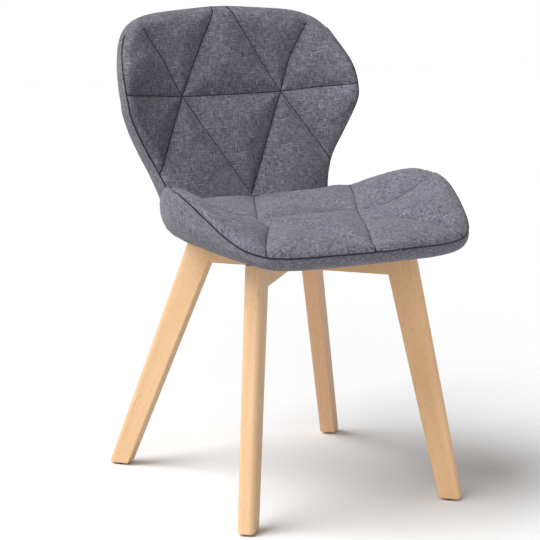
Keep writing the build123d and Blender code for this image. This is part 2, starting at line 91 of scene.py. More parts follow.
def curve_through(stations, column):
    """A function that runs smoothly through one column of the stations and never swings past them."""
    places = [row[0] * MM for row in stations]
    values = [row[column] * MM for row in stations]
    steps = [b - a for a, b in zip(places, places[1:])]
    slopes = [(b - a) / step for a, b, step in zip(values, values[1:], steps)]
    tangents = [slopes[0]]
    for before, after in zip(slopes, slopes[1:]):
        tangents.append(0.0 if before * after <= 0 else 2 * before * after / (before + after))
    tangents.append(slopes[-1])

    def at(place):
        place = min(max(place, places[0]), places[-1])
        i = sum(1 for start in places[1:-1] if start <= place)
        t = (place - places[i]) / steps[i]
        return (
            values[i] * (1 + 2 * t) * (1 - t) ** 2
            + tangents[i] * steps[i] * t * (1 - t) ** 2
            + values[i + 1] * t * t * (3 - 2 * t)
            + tangents[i + 1] * steps[i] * t * t * (t - 1)
        )

    return at


seat_curves = [curve_through(SEAT_STATIONS, k) for k in range(1, 8)]
seat_half, seat_drop, seat_rise, seat_lift, seat_under_rise, seat_inset, seat_rim = seat_curves
back_curves = [curve_through(BACK_STATIONS, k) for k in range(1, 6)]
back_half, back_curl, back_turn, back_thinning, back_rim = back_curves
print("half widths", round(seat_half(-0.064), 4), round(back_half(0.180), 4))

# %% [markdown]
# ## The bent shells
# Each shell is a function from the flat pattern to space. The middle is flat and the wings follow a
# parabola, which is close to the arc that a press gives to plywood. A second function gives the far side of
# the cushion: the underside of the seat, whose wings rise as a cubic so that it stays flat over the rails,
# or the rear of the back, which is fuller at the neck and thin at the top.

# %% Faces of the shells
FLAT_SHARE, WING_LIMIT = 0.6, 1.1


def wing_share(x, half):
    """How far out on a wing a point lies: 0 on the flat middle and 1 at the rim."""
    flat = min(FLAT_HALF, half * FLAT_SHARE)
    return min(WING_LIMIT, max(0.0, abs(x) - flat) / (half - flat))


def seat_face(x, y):
    return Vector((x, y, SEAT_CROWN - seat_drop(y) + seat_rise(y) * wing_share(x, seat_half(y)) ** 2))


def seat_under(x, y):
    rise = seat_lift(y) + seat_under_rise(y) * wing_share(x, seat_half(y)) ** 3
    return Vector((x, y, FRAME_TOP + DUST_ROOM + rise))


def back_face(x, h):
    turn = back_turn(h) * wing_share(x, back_half(h)) ** 2
    return Vector((x, CREASE_Y + h * NECK_SLOPE - back_curl(h) - turn, CREASE_Z + h))


def back_rear(x, h):
    return back_face(x, h) + Vector((0, BACK_DEPTH - back_thinning(h), 0))


def normal_of(face, x, v, outward):
    """Direction square to a shell, on the side that outward points to."""
    step = 0.002
    along = face(x + step, v) - face(x - step, v)
    up = face(x, v + step) - face(x, v - step)
    square = along.cross(up).normalized()
    return square if square.dot(outward) > 0 else -square


UP, FORWARD = Vector((0, 0, 1)), Vector((0, -1, 0))
print("wing tip of the seat", [round(c, 3) for c in seat_face(0.226, -0.05)])
print("wing tip of the back", [round(c, 3) for c in back_face(0.206, 0.165)])

# %% [markdown]
# ## Patterns
# The half widths of the stations, less the inset of the edge seam, are also the edge of each pattern, so we
# thread one smooth line through them and mirror it. The sewn lines run from two tufts to the edge and to
# each other, and cut the cloth into the triangles that give the chair its look. A line that comes close to
# the edge ends on one of its points, as it would under the machine. The lines on the seat's wings stop a
# little short of it, where the cloth rolls over.

# %% Outlines and sewn lines
SEAM_STEP, EDGE_SNAP = 0.004, 0.010
SEAT_TUFT, BACK_TUFT = (87, -64), (89, 154)
SEAT_SEAMS = [[(0, 118)], [(158, 92)], [(203, -70)], [(92, -110), (166, -240)], [(0, -259)]]
BACK_SEAMS = [[(0, 0)], [(155, 37)], [(207, 164)], [(112, 209), (146, 262)], [(14, 289)]]


def outline_of(stations, inset):
    """Closed edge of a pattern in metres, through the half width of every station on both sides."""
    right = [Vector((row[1] * MM - inset(row[0] * MM), row[0] * MM)) for row in stations]
    corners = right + [Vector((-p.x, p.y)) for p in reversed(right)]
    count = len(corners)
    fine = []
    for i in range(count):
        a, b, c, d = (corners[(i + k) % count] for k in (-1, 0, 1, 2))
        if b.y == c.y:
            a, d = b, c
        if a.y == b.y:
            a = b
        if c.y == d.y:
            d = c
        pieces = max(1, round((c - b).length / SEAM_STEP))
        square, cube = 2 * a - 5 * b + 4 * c - d, 3 * b - a - 3 * c + d
        for t in (k / pieces for k in range(pieces)):
            fine.append(0.5 * (2 * b + (c - a) * t + square * t ** 2 + cube * t ** 3))
    return fine


def sewn_lines(tuft, paths, outline):
    """Sewn lines of both halves, each a pair of points in metres; a bowed line is cut into two."""
    hub = Vector(tuft) * MM
    lines = [(Vector((-hub.x, hub.y)), hub)]
    for path in paths:
        for side in (-1, 1):
            start = Vector((side * hub.x, hub.y))
            for place in path:
                aim = Vector((side * place[0], place[1])) * MM
                nearest = min(outline, key=lambda point: (point - aim).length)
                stop = nearest if (nearest - aim).length < EDGE_SNAP else aim
                lines.append((start, stop.copy()))
                start = stop
    return lines


def no_inset(height):
    """The back's edge seam runs along its rim."""
    return 0.0


seat = SimpleNamespace(face=seat_face, far_face=seat_under, outward=UP, inset=seat_inset, rim=seat_rim)
seat.outline = outline_of(SEAT_STATIONS, seat.inset)
seat.seams = sewn_lines(SEAT_TUFT, SEAT_SEAMS, seat.outline)
back = SimpleNamespace(face=back_face, far_face=back_rear, outward=FORWARD, inset=no_inset, rim=back_rim)
back.outline = outline_of(BACK_STATIONS, back.inset)
back.seams = sewn_lines(BACK_TUFT, BACK_SEAMS, back.outline)
print("edge points", len(seat.outline), len(back.outline), "sewn lines", len(seat.seams), len(back.seams))

# %% [markdown]
# ## Meshing a pattern
# A grid of squares would cut across the sewn lines. A constrained Delaunay mesh keeps every sewn line as a
# row of edges, and rows of points close to it let the cloth dip sharply there, so we use that and fill the
# rest with points in a honeycomb.

# %% Distances on a pattern
FAR_AWAY = 1.0


def gap_to(point, a, b):
    """Distance of a point from the line between a and b."""
    along = b - a
    t = min(max((point - a).dot(along) / along.length_squared, 0), 1)
    return (point - a - along * t).length


def sides_of(outline):
    return list(zip(outline, outline[1:] + outline[:1]))


def inside(point, outline):
    """Whether a ray to the right crosses the edge an odd number of times."""
    hit = False
    for a, b in sides_of(outline):
        if (a.y > point.y) != (b.y > point.y) and point.x < (b.x - a.x) * (point.y - a.y) / (b.y - a.y) + a.x:
            hit = not hit
    return hit


def gap_to_any(point, lines):
    return min((gap_to(point, a, b) for a, b in lines), default=FAR_AWAY)


edge_length = sum((b - a).length for a, b in sides_of(seat.outline))
print("edge of the seat's pattern", round(edge_length, 3), "m round")

# %% Mesh of a pattern
ROWS_BESIDE = (-0.0055, -0.0022, 0.0022, 0.0055)
OWN_SHARE, EDGE_ROOM, SEAM_ROOM = 0.8, 0.002, 0.008
HONEYCOMB, RIM_SHARE = 0.866, 0.6
INSIDE_ONLY, SAME_POINT = 1, 1e-6


def pattern_mesh(outline, seams, spacing):
    """Points and triangles of a flat pattern, edge points first, each sewn line a row of mesh edges."""
    edge = sides_of(outline)
    points = list(outline)
    fixed = [(i, (i + 1) % len(outline)) for i in range(len(outline))]
    for a, b in seams:
        count = max(2, round((b - a).length / SEAM_STEP))
        first = len(points)
        points += [a.lerp(b, k / count) for k in range(count + 1)]
        fixed += [(first + k, first + k + 1) for k in range(count)]
        across = Vector((-(b - a).y, (b - a).x)).normalized()
        for shift in ROWS_BESIDE:
            for k in range(1, count):
                beside = a.lerp(b, k / count) + across * shift
                clear = gap_to_any(beside, seams) > abs(shift) * OWN_SHARE
                if clear and gap_to_any(beside, edge) > EDGE_ROOM and inside(beside, outline):
                    points.append(beside)
    low_x, high_x = min(p.x for p in outline), max(p.x for p in outline)
    low_y, high_y = min(p.y for p in outline), max(p.y for p in outline)
    for row in range(int((high_y - low_y) / (spacing * HONEYCOMB)) + 1):
        for column in range(int((high_x - low_x) / spacing) + 2):
            spot = Vector((low_x + (column + row % 2 / 2) * spacing, low_y + row * spacing * HONEYCOMB))
            clear = inside(spot, outline) and gap_to_any(spot, edge) > spacing * RIM_SHARE
            if clear and gap_to_any(spot, seams) > SEAM_ROOM:
                points.append(spot)
    flat, _, triangles, sources, *_ = delaunay_2d_cdt(points, fixed, [], INSIDE_ONLY, SAME_POINT)
    place = {old: new for new, olds in enumerate(sources) for old in olds}
    return [Vector(p) for p in flat], triangles, [place[i] for i in range(len(outline))]


# %% [markdown]
# ## Building a cushion
# The foam lifts the cloth between the sewn lines, and the cloth rolls over at the rim down to the edge
# seam. Below the seam a band bulges a little and then tucks in under the cushion, and the far side closes
# the form. All three join at shared points, so the cushion is one closed skin. The flat pattern stays on it
# as a UV map for the weave.

# %% How far the cloth stands off the shell
PUFF, PUFF_SPREAD = 0.0105, 0.014
SEAM_SINK = 0.0064
STITCH_BITE, STITCH_SPREAD = 0.0022, 0.0022
RIM_REACH = 0.017
FADE, FADE_POWER = 0.030, 0.7


def swell(point, edge, seams):
    """Height of the padded cloth over the shell: sunk on a sewn line, swollen between, flat at the rim."""
    seam = gap_to_any(point, seams)
    puff = PUFF * (1 - exp(-seam / PUFF_SPREAD)) - SEAM_SINK - STITCH_BITE * exp(-seam / STITCH_SPREAD)
    return puff * min(1.0, edge / FADE) ** FADE_POWER


def on_cloth(point, shell, sink=0.0):
    """Place in space of a point of the pattern, on the padded side."""
    edge = gap_to_any(point, sides_of(shell.outline))
    roll = max(0.0, 1 - edge / RIM_REACH)
    stand = swell(point, edge, shell.seams) - sink
    spot = shell.face(*point) + normal_of(shell.face, *point, shell.outward) * stand
    return spot - shell.outward * shell.rim(point.y) * (1 - (1 - roll ** 2) ** 0.5)


deepest, highest = -SEAM_SINK - STITCH_BITE, PUFF - SEAM_SINK
print("cloth stands off the shell by", round(deepest, 4), "on a sewn line, up to", round(highest, 4))

# %% Curve of the band
BAND_BULGE = 0.004
ROLL = 0.012
BAND_STEEP, ROLL_OUT, ROLL_UP = 0.6, 0.5, 2


def tucked(outline, tuck):
    """The edge drawn in square to itself by a distance."""
    count = len(outline)
    drawn = []
    for i, point in enumerate(outline):
        along = (outline[(i + 2) % count] - outline[i - 2]).normalized()
        drawn.append(point + Vector((-along.y, along.x)) * tuck)
    return drawn


def band_point(seam, lead, corner, under, share):
    """Point of the band's curve, which leaves the edge seam towards lead and turns under at the corner."""
    return (
        seam * (1 - share) ** 3
        + lead * 3 * share * (1 - share) ** 2
        + corner * 3 * share ** 2 * (1 - share)
        + under * share ** 3
    )


def band_guides(shell, point, seam, middle, far_limit):
    """The two points that steer the band's curve: the lead out of the edge seam and the corner below it."""
    rolled = shell.inset(point.y)
    rim_x = point.x + copysign(rolled, point.x)
    away = seam - middle
    away = (away - shell.outward * away.dot(shell.outward)).normalized()
    corner = shell.far_face(rim_x, min(point.y, far_limit)) + away * (BAND_BULGE + rolled)
    steep = BAND_STEEP * (1 - min(1.0, rolled / ROLL))
    lead = seam.lerp(corner, steep) + away * rolled * ROLL_OUT + shell.outward * rolled * ROLL_UP
    return lead, corner


# %% Cushion maker
BAND_ROWS = 10
CLOTH_SPACING, FAR_SPACING = 0.0055, 0.012


def cushion(name, shell, tuck, far_limit):
    """One closed padded skin, and the points of its pattern."""
    outline = shell.outline
    mesh = bpy.data.meshes.new(name)
    built = bmesh.new()
    pattern_map = built.loops.layers.uv.new("pattern")

    def panel(corners, spots):
        made = built.faces.new(corners)
        made.smooth = True
        for loop, spot in zip(made.loops, spots):
            loop[pattern_map].uv = spot

    near, triangles, rim = pattern_mesh(outline, shell.seams, CLOTH_SPACING)
    skin = [built.verts.new(on_cloth(p, shell)) for p in near]
    for triangle in triangles:
        panel([skin[i] for i in triangle], [near[i] for i in triangle])

    drawn = [Vector((p.x, min(p.y, far_limit))) for p in tucked(outline, tuck)]
    far, far_triangles, far_rim = pattern_mesh(drawn, [], FAR_SPACING)
    under = [built.verts.new(shell.far_face(*p)) for p in far]
    for triangle in far_triangles:
        panel([under[i] for i in reversed(triangle)], [far[i] for i in reversed(triangle)])

    count = len(outline)
    middle = shell.face(*(sum(outline, Vector((0, 0))) / count))
    lengths = [0.0]
    for a, b in sides_of(outline):
        lengths.append(lengths[-1] + (b - a).length)
    ring = [skin[i] for i in rim]
    depth = 0.0
    for row in range(1, BAND_ROWS + 1):
        share = row / BAND_ROWS
        lower = []
        for i in range(count):
            seam_spot, under_spot = skin[rim[i]].co, under[far_rim[i]].co
            if row == BAND_ROWS:
                lower.append(under[far_rim[i]])
                continue
            lead, corner = band_guides(shell, outline[i], seam_spot, middle, far_limit)
            lower.append(built.verts.new(band_point(seam_spot, lead, corner, under_spot, share)))
        step = sum((a.co - b.co).length for a, b in zip(lower, ring)) / count
        for i in range(count):
            k = (i + 1) % count
            start, stop, deeper = lengths[i], lengths[i + 1], depth + step
            spots = [(start, depth), (stop, depth), (stop, deeper), (start, deeper)]
            panel([ring[i], ring[k], lower[k], lower[i]], spots)
        ring = lower
        depth += step

    bmesh.ops.recalc_face_normals(built, faces=built.faces)
    built.to_mesh(mesh)
    built.free()
    piece = bpy.data.objects.new(name, mesh)
    scene.collection.objects.link(piece)
    print(name, "points", len(mesh.vertices), "faces", len(mesh.polygons))
    return piece, near


# %% Seat and back cushions
seat_cushion, seat_pattern = cushion("seat_cushion", seat, tuck=0.024, far_limit=0.088)
back_cushion, back_pattern = cushion("back_cushion", back, tuck=0.014, far_limit=0.3)
for piece, replaced in (
    (seat_cushion, ("seat_cover_top", "seat_cover_band", "seat_foam")),
    (back_cushion, ("back_cover_front", "back_cover_rear", "back_foam", "back_foot_lining")),
):
    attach(piece, "root")
    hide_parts(*replaced)

# %% [markdown]
# ## Letting the foam press
# The cloth of a real cushion is cut a little larger than its shell and pulled down only where it is sewn,
# so the foam swells it between the lines and it puckers beside them. A cloth simulation does the same:
# every sewn line and the band are pinned, a light pressure pushes from inside for a few frames, and the
# cloth may grow by a little over half a per cent. Each point's movement is capped, so that the cloth stays
# as taut as it is on the chair.

# %% Cloth under pressure, pinned at the sewn lines
PRESS_FRAMES = 14
PIN_REACH = 0.010
MOST_LIFT, LEAST_LIFT = 0.004, 1e-9


def press_out(piece, pattern, shell):
    """Let pressure swell the free panels of a cushion, then keep the shape."""
    edge = sides_of(shell.outline)
    sewn = piece.vertex_groups.new(name="sewn")
    for i in range(len(piece.data.vertices)):
        gap = 0.0
        if i < len(pattern):
            gap = min(gap_to_any(pattern[i], shell.seams), gap_to_any(pattern[i], edge))
        sewn.add([i], max(0.0, 1 - gap / PIN_REACH), "REPLACE")
    press = piece.modifiers.new("press", "CLOTH")
    press.settings.quality = 6
    press.settings.mass = 0.2
    press.settings.tension_stiffness = 10
    press.settings.compression_stiffness = 6
    press.settings.shear_stiffness = 4
    press.settings.bending_stiffness = 2.0
    press.settings.use_pressure = True
    press.settings.uniform_pressure_force = 2.0
    press.settings.vertex_group_mass = "sewn"
    press.settings.shrink_min = -0.006
    press.settings.effector_weights.gravity = 0
    press.collision_settings.use_collision = False
    press.point_cache.frame_end = PRESS_FRAMES
    for moment in range(1, PRESS_FRAMES + 1):
        scene.frame_set(moment)
    swollen = piece.evaluated_get(bpy.context.evaluated_depsgraph_get())
    pressed = [vert.co.copy() for vert in swollen.data.vertices]
    piece.modifiers.remove(press)
    lifts = []
    for vert, spot in zip(piece.data.vertices, pressed):
        lift = spot - vert.co
        lifts.append(lift.length)
        vert.co += lift * min(1.0, MOST_LIFT / max(lift.length, LEAST_LIFT))
    scene.frame_set(1)
    print(piece.name, "most lift", round(max(lifts), 4), "mean lift", round(sum(lifts) / len(lifts), 4))


press_out(seat_cushion, seat_pattern, seat)
press_out(back_cushion, back_pattern, back)

# %% [markdown]
# ## Thread and painted crease shadow
# The sewn lines show as dark lines. Part of that is a dark thread that pulls the cloth together there, and
# part is the shadow in the narrow crease. A thin dark tube in each valley stands for both: the thread and a
# painted crease shadow. It follows the same points as the cloth, so it never floats. At the top of the back
# the front panel wraps over the edge, so no thread shows there.

# %% Thread and painted crease shadow in the sewn lines
# the tube is wider than a real thread, because it also carries the painted shadow of the crease
THREAD_RADIUS, THREAD_SINK = 0.0012, 0.0001


def thread(name, shell, seam_top):
    """Thin round dark tube, thread with painted crease shadow, along the sewn lines and along the edge seam
    up to a height of the pattern.
    """
    data = bpy.data.curves.new(name, "CURVE")
    data.dimensions = "3D"
    data.bevel_depth = THREAD_RADIUS
    data.bevel_resolution = 2
    half = len(shell.outline) // 2
    runs = [[p for p in side if p.y < seam_top] for side in (shell.outline[:half], shell.outline[half:])]
    for a, b in shell.seams:
        count = max(2, round((b - a).length / SEAM_STEP))
        runs.append([a.lerp(b, k / count) for k in range(count + 1)])
    for run in runs:
        spline = data.splines.new("POLY")
        spline.points.add(len(run) - 1)
        for point, spot in zip(spline.points, run):
            point.co = (*on_cloth(spot, shell, THREAD_SINK), 1)
    curve = bpy.data.objects.new(name + "_path", data)
    piece = bpy.data.objects.new(name, bpy.data.meshes.new_from_object(curve))
    bpy.data.objects.remove(curve)
    scene.collection.objects.link(piece)
    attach(piece, "root")
    print(name, "runs", len(runs), "points", len(piece.data.vertices))
    return piece


seat_thread_and_shade = thread("seat_thread_and_shade", seat, seam_top=1.0)
back_thread_and_shade = thread("back_thread_and_shade", back, seam_top=0.252)

# %% [markdown]
# ## Dust cover
# Under the seat a black cloth hides the board. It is one thin sheet, cut to a rectangle and stapled flat,
# so a plain grid with a little sag between the staples is all it needs.

# %% Dust cover sheet
SHEET_LIFT, SHEET_SAG = 0.0005, 0.0003
WAVES_ACROSS, WAVES_ALONG = 180, 150
low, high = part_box("dust_cover")
sheet_mesh = bpy.data.meshes.new("dust_cover_sheet")
built = bmesh.new()
bmesh.ops.create_grid(built, x_segments=30, y_segments=40, size=0.5)
for vert in built.verts:
    vert.co.x = (low[0] + high[0]) / 2 + vert.co.x * (high[0] - low[0])
    vert.co.y = (low[1] + high[1]) / 2 + vert.co.y * (high[1] - low[1])
    sag = SHEET_SAG * cos(vert.co.x * WAVES_ACROSS) * cos(vert.co.y * WAVES_ALONG)
    vert.co.z = low[2] + SHEET_LIFT + sag
built.to_mesh(sheet_mesh)
built.free()
dust_sheet = bpy.data.objects.new("dust_cover_sheet", sheet_mesh)
scene.collection.objects.link(dust_sheet)
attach(dust_sheet, "root")
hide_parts("dust_cover")
print("dust cover", round(high[0] - low[0], 3), "by", round(high[1] - low[1], 3), "at", round(low[2], 4))

# %% [markdown]
# ## Linen cloth
# The cloth is a heathered linen: grey threads of slightly different shades cross each other, and here and
# there a thicker, lighter slub runs along a thread. Two noises stretched along the weft and the warp give
# the streaks. A node group holds the weave, so that the cushions, the thread and the lining can use it with
# their own values.


# %% Helpers for shader nodes
def group_socket(tree, name, way, kind, value=None):
    socket = tree.interface.new_socket(name=name, in_out=way, socket_type=kind)
    if value is not None:
        socket.default_value = value
    return socket


def link(tree, source, target):
    tree.links.new(source, target)


def node(tree, kind, **settings):
    made = tree.nodes.new(kind)
    for key, value in settings.items():
        setattr(made, key, value)
    return made


def math_node(tree, operation, first, second):
    made = node(tree, "ShaderNodeMath", operation=operation)
    for slot_index, value in enumerate((first, second)):
        if isinstance(value, (int, float)):
            made.inputs[slot_index].default_value = value
        else:
            link(tree, value, made.inputs[slot_index])
    return made.outputs[0]


def stretched_noise(tree, vector, scale, detail):
    """Noise whose grain is longer one way than the other."""
    mapping = node(tree, "ShaderNodeMapping")
    mapping.inputs["Scale"].default_value = scale
    link(tree, vector, mapping.inputs["Vector"])
    noise = node(tree, "ShaderNodeTexNoise")
    noise.inputs["Scale"].default_value = 1.0
    noise.inputs["Detail"].default_value = detail
    noise.inputs["Roughness"].default_value = 0.6
    link(tree, mapping.outputs["Vector"], noise.inputs["Vector"])
    return noise.outputs["Fac"]


# %% Weave node group
CLOUD_SHARE = 0.12
SLUB_COLOR = (0.46, 0.46, 0.49, 1)

weave = bpy.data.node_groups.new("weave", "ShaderNodeTree")
group_socket(weave, "Pattern", "INPUT", "NodeSocketVector")
group_socket(weave, "Dark", "INPUT", "NodeSocketColor", (0.14, 0.14, 0.16, 1))
group_socket(weave, "Light", "INPUT", "NodeSocketColor", (0.27, 0.27, 0.30, 1))
group_socket(weave, "Slub", "INPUT", "NodeSocketFloat", 0.5)
group_socket(weave, "Color", "OUTPUT", "NodeSocketColor")
group_socket(weave, "Height", "OUTPUT", "NodeSocketFloat")
entry, leave = node(weave, "NodeGroupInput"), node(weave, "NodeGroupOutput")
pattern = entry.outputs["Pattern"]
weft = stretched_noise(weave, pattern, (110, 560, 1), 2)
warp = stretched_noise(weave, pattern, (560, 110, 1), 2)
slub_weft = stretched_noise(weave, pattern, (45, 520, 1), 1)
slub_warp = stretched_noise(weave, pattern, (520, 60, 1), 1)
cloud = stretched_noise(weave, pattern, (30, 30, 1), 2)
half_weft = math_node(weave, "MULTIPLY", weft, 0.5)
half_warp = math_node(weave, "MULTIPLY", warp, 0.5)
streaks = math_node(weave, "ADD", half_weft, half_warp)
most_streaks = math_node(weave, "MULTIPLY", streaks, 1 - CLOUD_SHARE)
some_cloud = math_node(weave, "MULTIPLY", cloud, CLOUD_SHARE)
blend = math_node(weave, "ADD", most_streaks, some_cloud)
sharper = node(weave, "ShaderNodeMapRange", clamp=True)
sharper.inputs["From Min"].default_value = 0.41
sharper.inputs["From Max"].default_value = 0.59
link(weave, blend, sharper.inputs["Value"])
shade = node(weave, "ShaderNodeMix", data_type="RGBA")
link(weave, sharper.outputs["Result"], shade.inputs["Factor"])
link(weave, entry.outputs["Dark"], shade.inputs["A"])
link(weave, entry.outputs["Light"], shade.inputs["B"])
slubs = node(weave, "ShaderNodeMapRange", clamp=True)
slubs.inputs["From Min"].default_value = 0.63
slubs.inputs["From Max"].default_value = 0.76
link(weave, math_node(weave, "MAXIMUM", slub_weft, slub_warp), slubs.inputs["Value"])
slubbed = node(weave, "ShaderNodeMix", data_type="RGBA")
slub_amount = math_node(weave, "MULTIPLY", slubs.outputs["Result"], entry.outputs["Slub"])
link(weave, slub_amount, slubbed.inputs["Factor"])
link(weave, shade.outputs["Result"], slubbed.inputs["A"])
slubbed.inputs["B"].default_value = SLUB_COLOR
link(weave, slubbed.outputs["Result"], leave.inputs["Color"])
link(weave, streaks, leave.inputs["Height"])
print("weave group nodes", len(weave.nodes))


# %% Cloth materials
def cloth(name, dark, light, slub, coordinate):
    """A woven cloth, laid along the flat pattern or along the piece itself."""
    material = bpy.data.materials.new(name)
    material.use_nodes = True
    tree = material.node_tree
    shader = tree.nodes["Principled BSDF"]
    if coordinate == "pattern":
        source = node(tree, "ShaderNodeUVMap", uv_map="pattern").outputs["UV"]
    else:
        source = node(tree, "ShaderNodeTexCoord").outputs["Object"]
    cloth_weave = node(tree, "ShaderNodeGroup", node_tree=weave)
    link(tree, source, cloth_weave.inputs["Pattern"])
    cloth_weave.inputs["Dark"].default_value = (*dark, 1)
    cloth_weave.inputs["Light"].default_value = (*light, 1)
    cloth_weave.inputs["Slub"].default_value = slub
    link(tree, cloth_weave.outputs["Color"], shader.inputs["Base Color"])
    bump = node(tree, "ShaderNodeBump")
    bump.inputs["Strength"].default_value = 0.35
    bump.inputs["Distance"].default_value = 0.0006
    link(tree, cloth_weave.outputs["Height"], bump.inputs["Height"])
    link(tree, bump.outputs["Normal"], shader.inputs["Normal"])
    shader.inputs["Roughness"].default_value = 0.9
    shader.inputs["Sheen Weight"].default_value = 0.15
    shader.inputs["Sheen Roughness"].default_value = 0.5
    shader.inputs["Specular IOR Level"].default_value = 0.25
    return material


linen = cloth("grey_linen", (0.092, 0.089, 0.110), (0.246, 0.239, 0.284), 0.65, "pattern")
# almost black: the thread's own dark colour with painted crease shadow on top
thread_and_painted_shade = cloth("thread_and_painted_shade_cloth", (0.012, 0.012, 0.015), (0.028, 0.028, 0.033), 0.0, "object")
lining = cloth("black_lining", (0.012, 0.012, 0.012), (0.030, 0.030, 0.030), 0.1, "object")
for piece, material in (
    (seat_cushion, linen), (back_cushion, linen),
    (seat_thread_and_shade, thread_and_painted_shade), (back_thread_and_shade, thread_and_painted_shade), (dust_sheet, lining),
):
    piece.data.materials.append(material)
print("cloth materials", linen.name, thread_and_painted_shade.name, lining.name)

# %% [markdown]
# ## Beech
# The legs are beech: pale, warm and even, with short darker flecks along the grain. The grain runs along
# each leg, so each one gets its own mapping that turns the texture onto the leg's lean.

# %% Beech node group
DEEP_SHARE, FLECK_SHARE = 0.75, 0.6
SMOOTH, PORE_ROUGHNESS = 0.42, 0.15

beech_grain = bpy.data.node_groups.new("beech_grain", "ShaderNodeTree")
group_socket(beech_grain, "Along grain", "INPUT", "NodeSocketVector")
group_socket(beech_grain, "Pale", "INPUT", "NodeSocketColor", (0.80, 0.55, 0.33, 1))
group_socket(beech_grain, "Deep", "INPUT", "NodeSocketColor", (0.66, 0.41, 0.23, 1))
group_socket(beech_grain, "Fleck", "INPUT", "NodeSocketColor", (0.60, 0.33, 0.17, 1))
group_socket(beech_grain, "Color", "OUTPUT", "NodeSocketColor")
group_socket(beech_grain, "Roughness", "OUTPUT", "NodeSocketFloat")
group_socket(beech_grain, "Height", "OUTPUT", "NodeSocketFloat")
entry, leave = node(beech_grain, "NodeGroupInput"), node(beech_grain, "NodeGroupOutput")
along = entry.outputs["Along grain"]
bands = stretched_noise(beech_grain, along, (60, 60, 3.5), 4)
flecks = stretched_noise(beech_grain, along, (700, 700, 95), 1)
tone = node(beech_grain, "ShaderNodeMapRange", clamp=True)
tone.inputs["From Min"].default_value = 0.3
tone.inputs["From Max"].default_value = 0.75
link(beech_grain, bands, tone.inputs["Value"])
wood = node(beech_grain, "ShaderNodeMix", data_type="RGBA")
deepness = math_node(beech_grain, "MULTIPLY", tone.outputs["Result"], DEEP_SHARE)
link(beech_grain, deepness, wood.inputs["Factor"])
link(beech_grain, entry.outputs["Pale"], wood.inputs["A"])
link(beech_grain, entry.outputs["Deep"], wood.inputs["B"])
pores = node(beech_grain, "ShaderNodeMapRange", clamp=True)
pores.inputs["From Min"].default_value = 0.62
pores.inputs["From Max"].default_value = 0.74
link(beech_grain, flecks, pores.inputs["Value"])
flecked = node(beech_grain, "ShaderNodeMix", data_type="RGBA")
fleck_amount = math_node(beech_grain, "MULTIPLY", pores.outputs["Result"], FLECK_SHARE)
link(beech_grain, fleck_amount, flecked.inputs["Factor"])
link(beech_grain, wood.outputs["Result"], flecked.inputs["A"])
link(beech_grain, entry.outputs["Fleck"], flecked.inputs["B"])
link(beech_grain, flecked.outputs["Result"], leave.inputs["Color"])
pore_rough = math_node(beech_grain, "MULTIPLY", pores.outputs["Result"], PORE_ROUGHNESS)
rough = math_node(beech_grain, "ADD", SMOOTH, pore_rough)
link(beech_grain, rough, leave.inputs["Roughness"])
height = math_node(beech_grain, "SUBTRACT", 1.0, pores.outputs["Result"])
link(beech_grain, height, leave.inputs["Height"])
print("beech group nodes", len(beech_grain.nodes))


# %% Beech materials, one for each lean
def wood_material(name, grain_direction, pale, deep, shift):
    """Wood whose grain runs along a direction in space."""
    material = bpy.data.materials.new(name)
    material.use_nodes = True
    tree = material.node_tree
    shader = tree.nodes["Principled BSDF"]
    place = node(tree, "ShaderNodeTexCoord")
    turn = node(tree, "ShaderNodeMapping", vector_type="POINT")
    upright = Vector(grain_direction).rotation_difference(UP)
    turn.inputs["Rotation"].default_value = upright.to_euler()
    turn.inputs["Location"].default_value = shift
    link(tree, place.outputs["Object"], turn.inputs["Vector"])
    grain = node(tree, "ShaderNodeGroup", node_tree=beech_grain)
    link(tree, turn.outputs["Vector"], grain.inputs["Along grain"])
    grain.inputs["Pale"].default_value = (*pale, 1)
    grain.inputs["Deep"].default_value = (*deep, 1)
    link(tree, grain.outputs["Color"], shader.inputs["Base Color"])
    link(tree, grain.outputs["Roughness"], shader.inputs["Roughness"])
    bump = node(tree, "ShaderNodeBump")
    bump.inputs["Strength"].default_value = 0.15
    bump.inputs["Distance"].default_value = 0.0002
    link(tree, grain.outputs["Height"], bump.inputs["Height"])
    link(tree, bump.outputs["Normal"], shader.inputs["Normal"])
    shader.inputs["Specular IOR Level"].default_value = 0.25
    shader.inputs["Coat Weight"].default_value = 0.05
    shader.inputs["Coat Roughness"].default_value = 0.3
    return material


def paint(names, material):
    """Put one material on CAD nodes."""
    for name in names:
        nodes[name].data.materials.clear()
        nodes[name].data.materials.append(material)


PALE, DEEP = (0.97, 0.640, 0.365), (0.85, 0.520, 0.275)
PLY_PALE, PLY_DEEP = (0.62, 0.43, 0.27), (0.5, 0.33, 0.2)
ACROSS = (1, 0, 0)
NO_SHIFT, RAIL_SHIFT = (0, 0, 0), (0.1, 0.4, 0.2)
LEG_WIDTH = 0.034
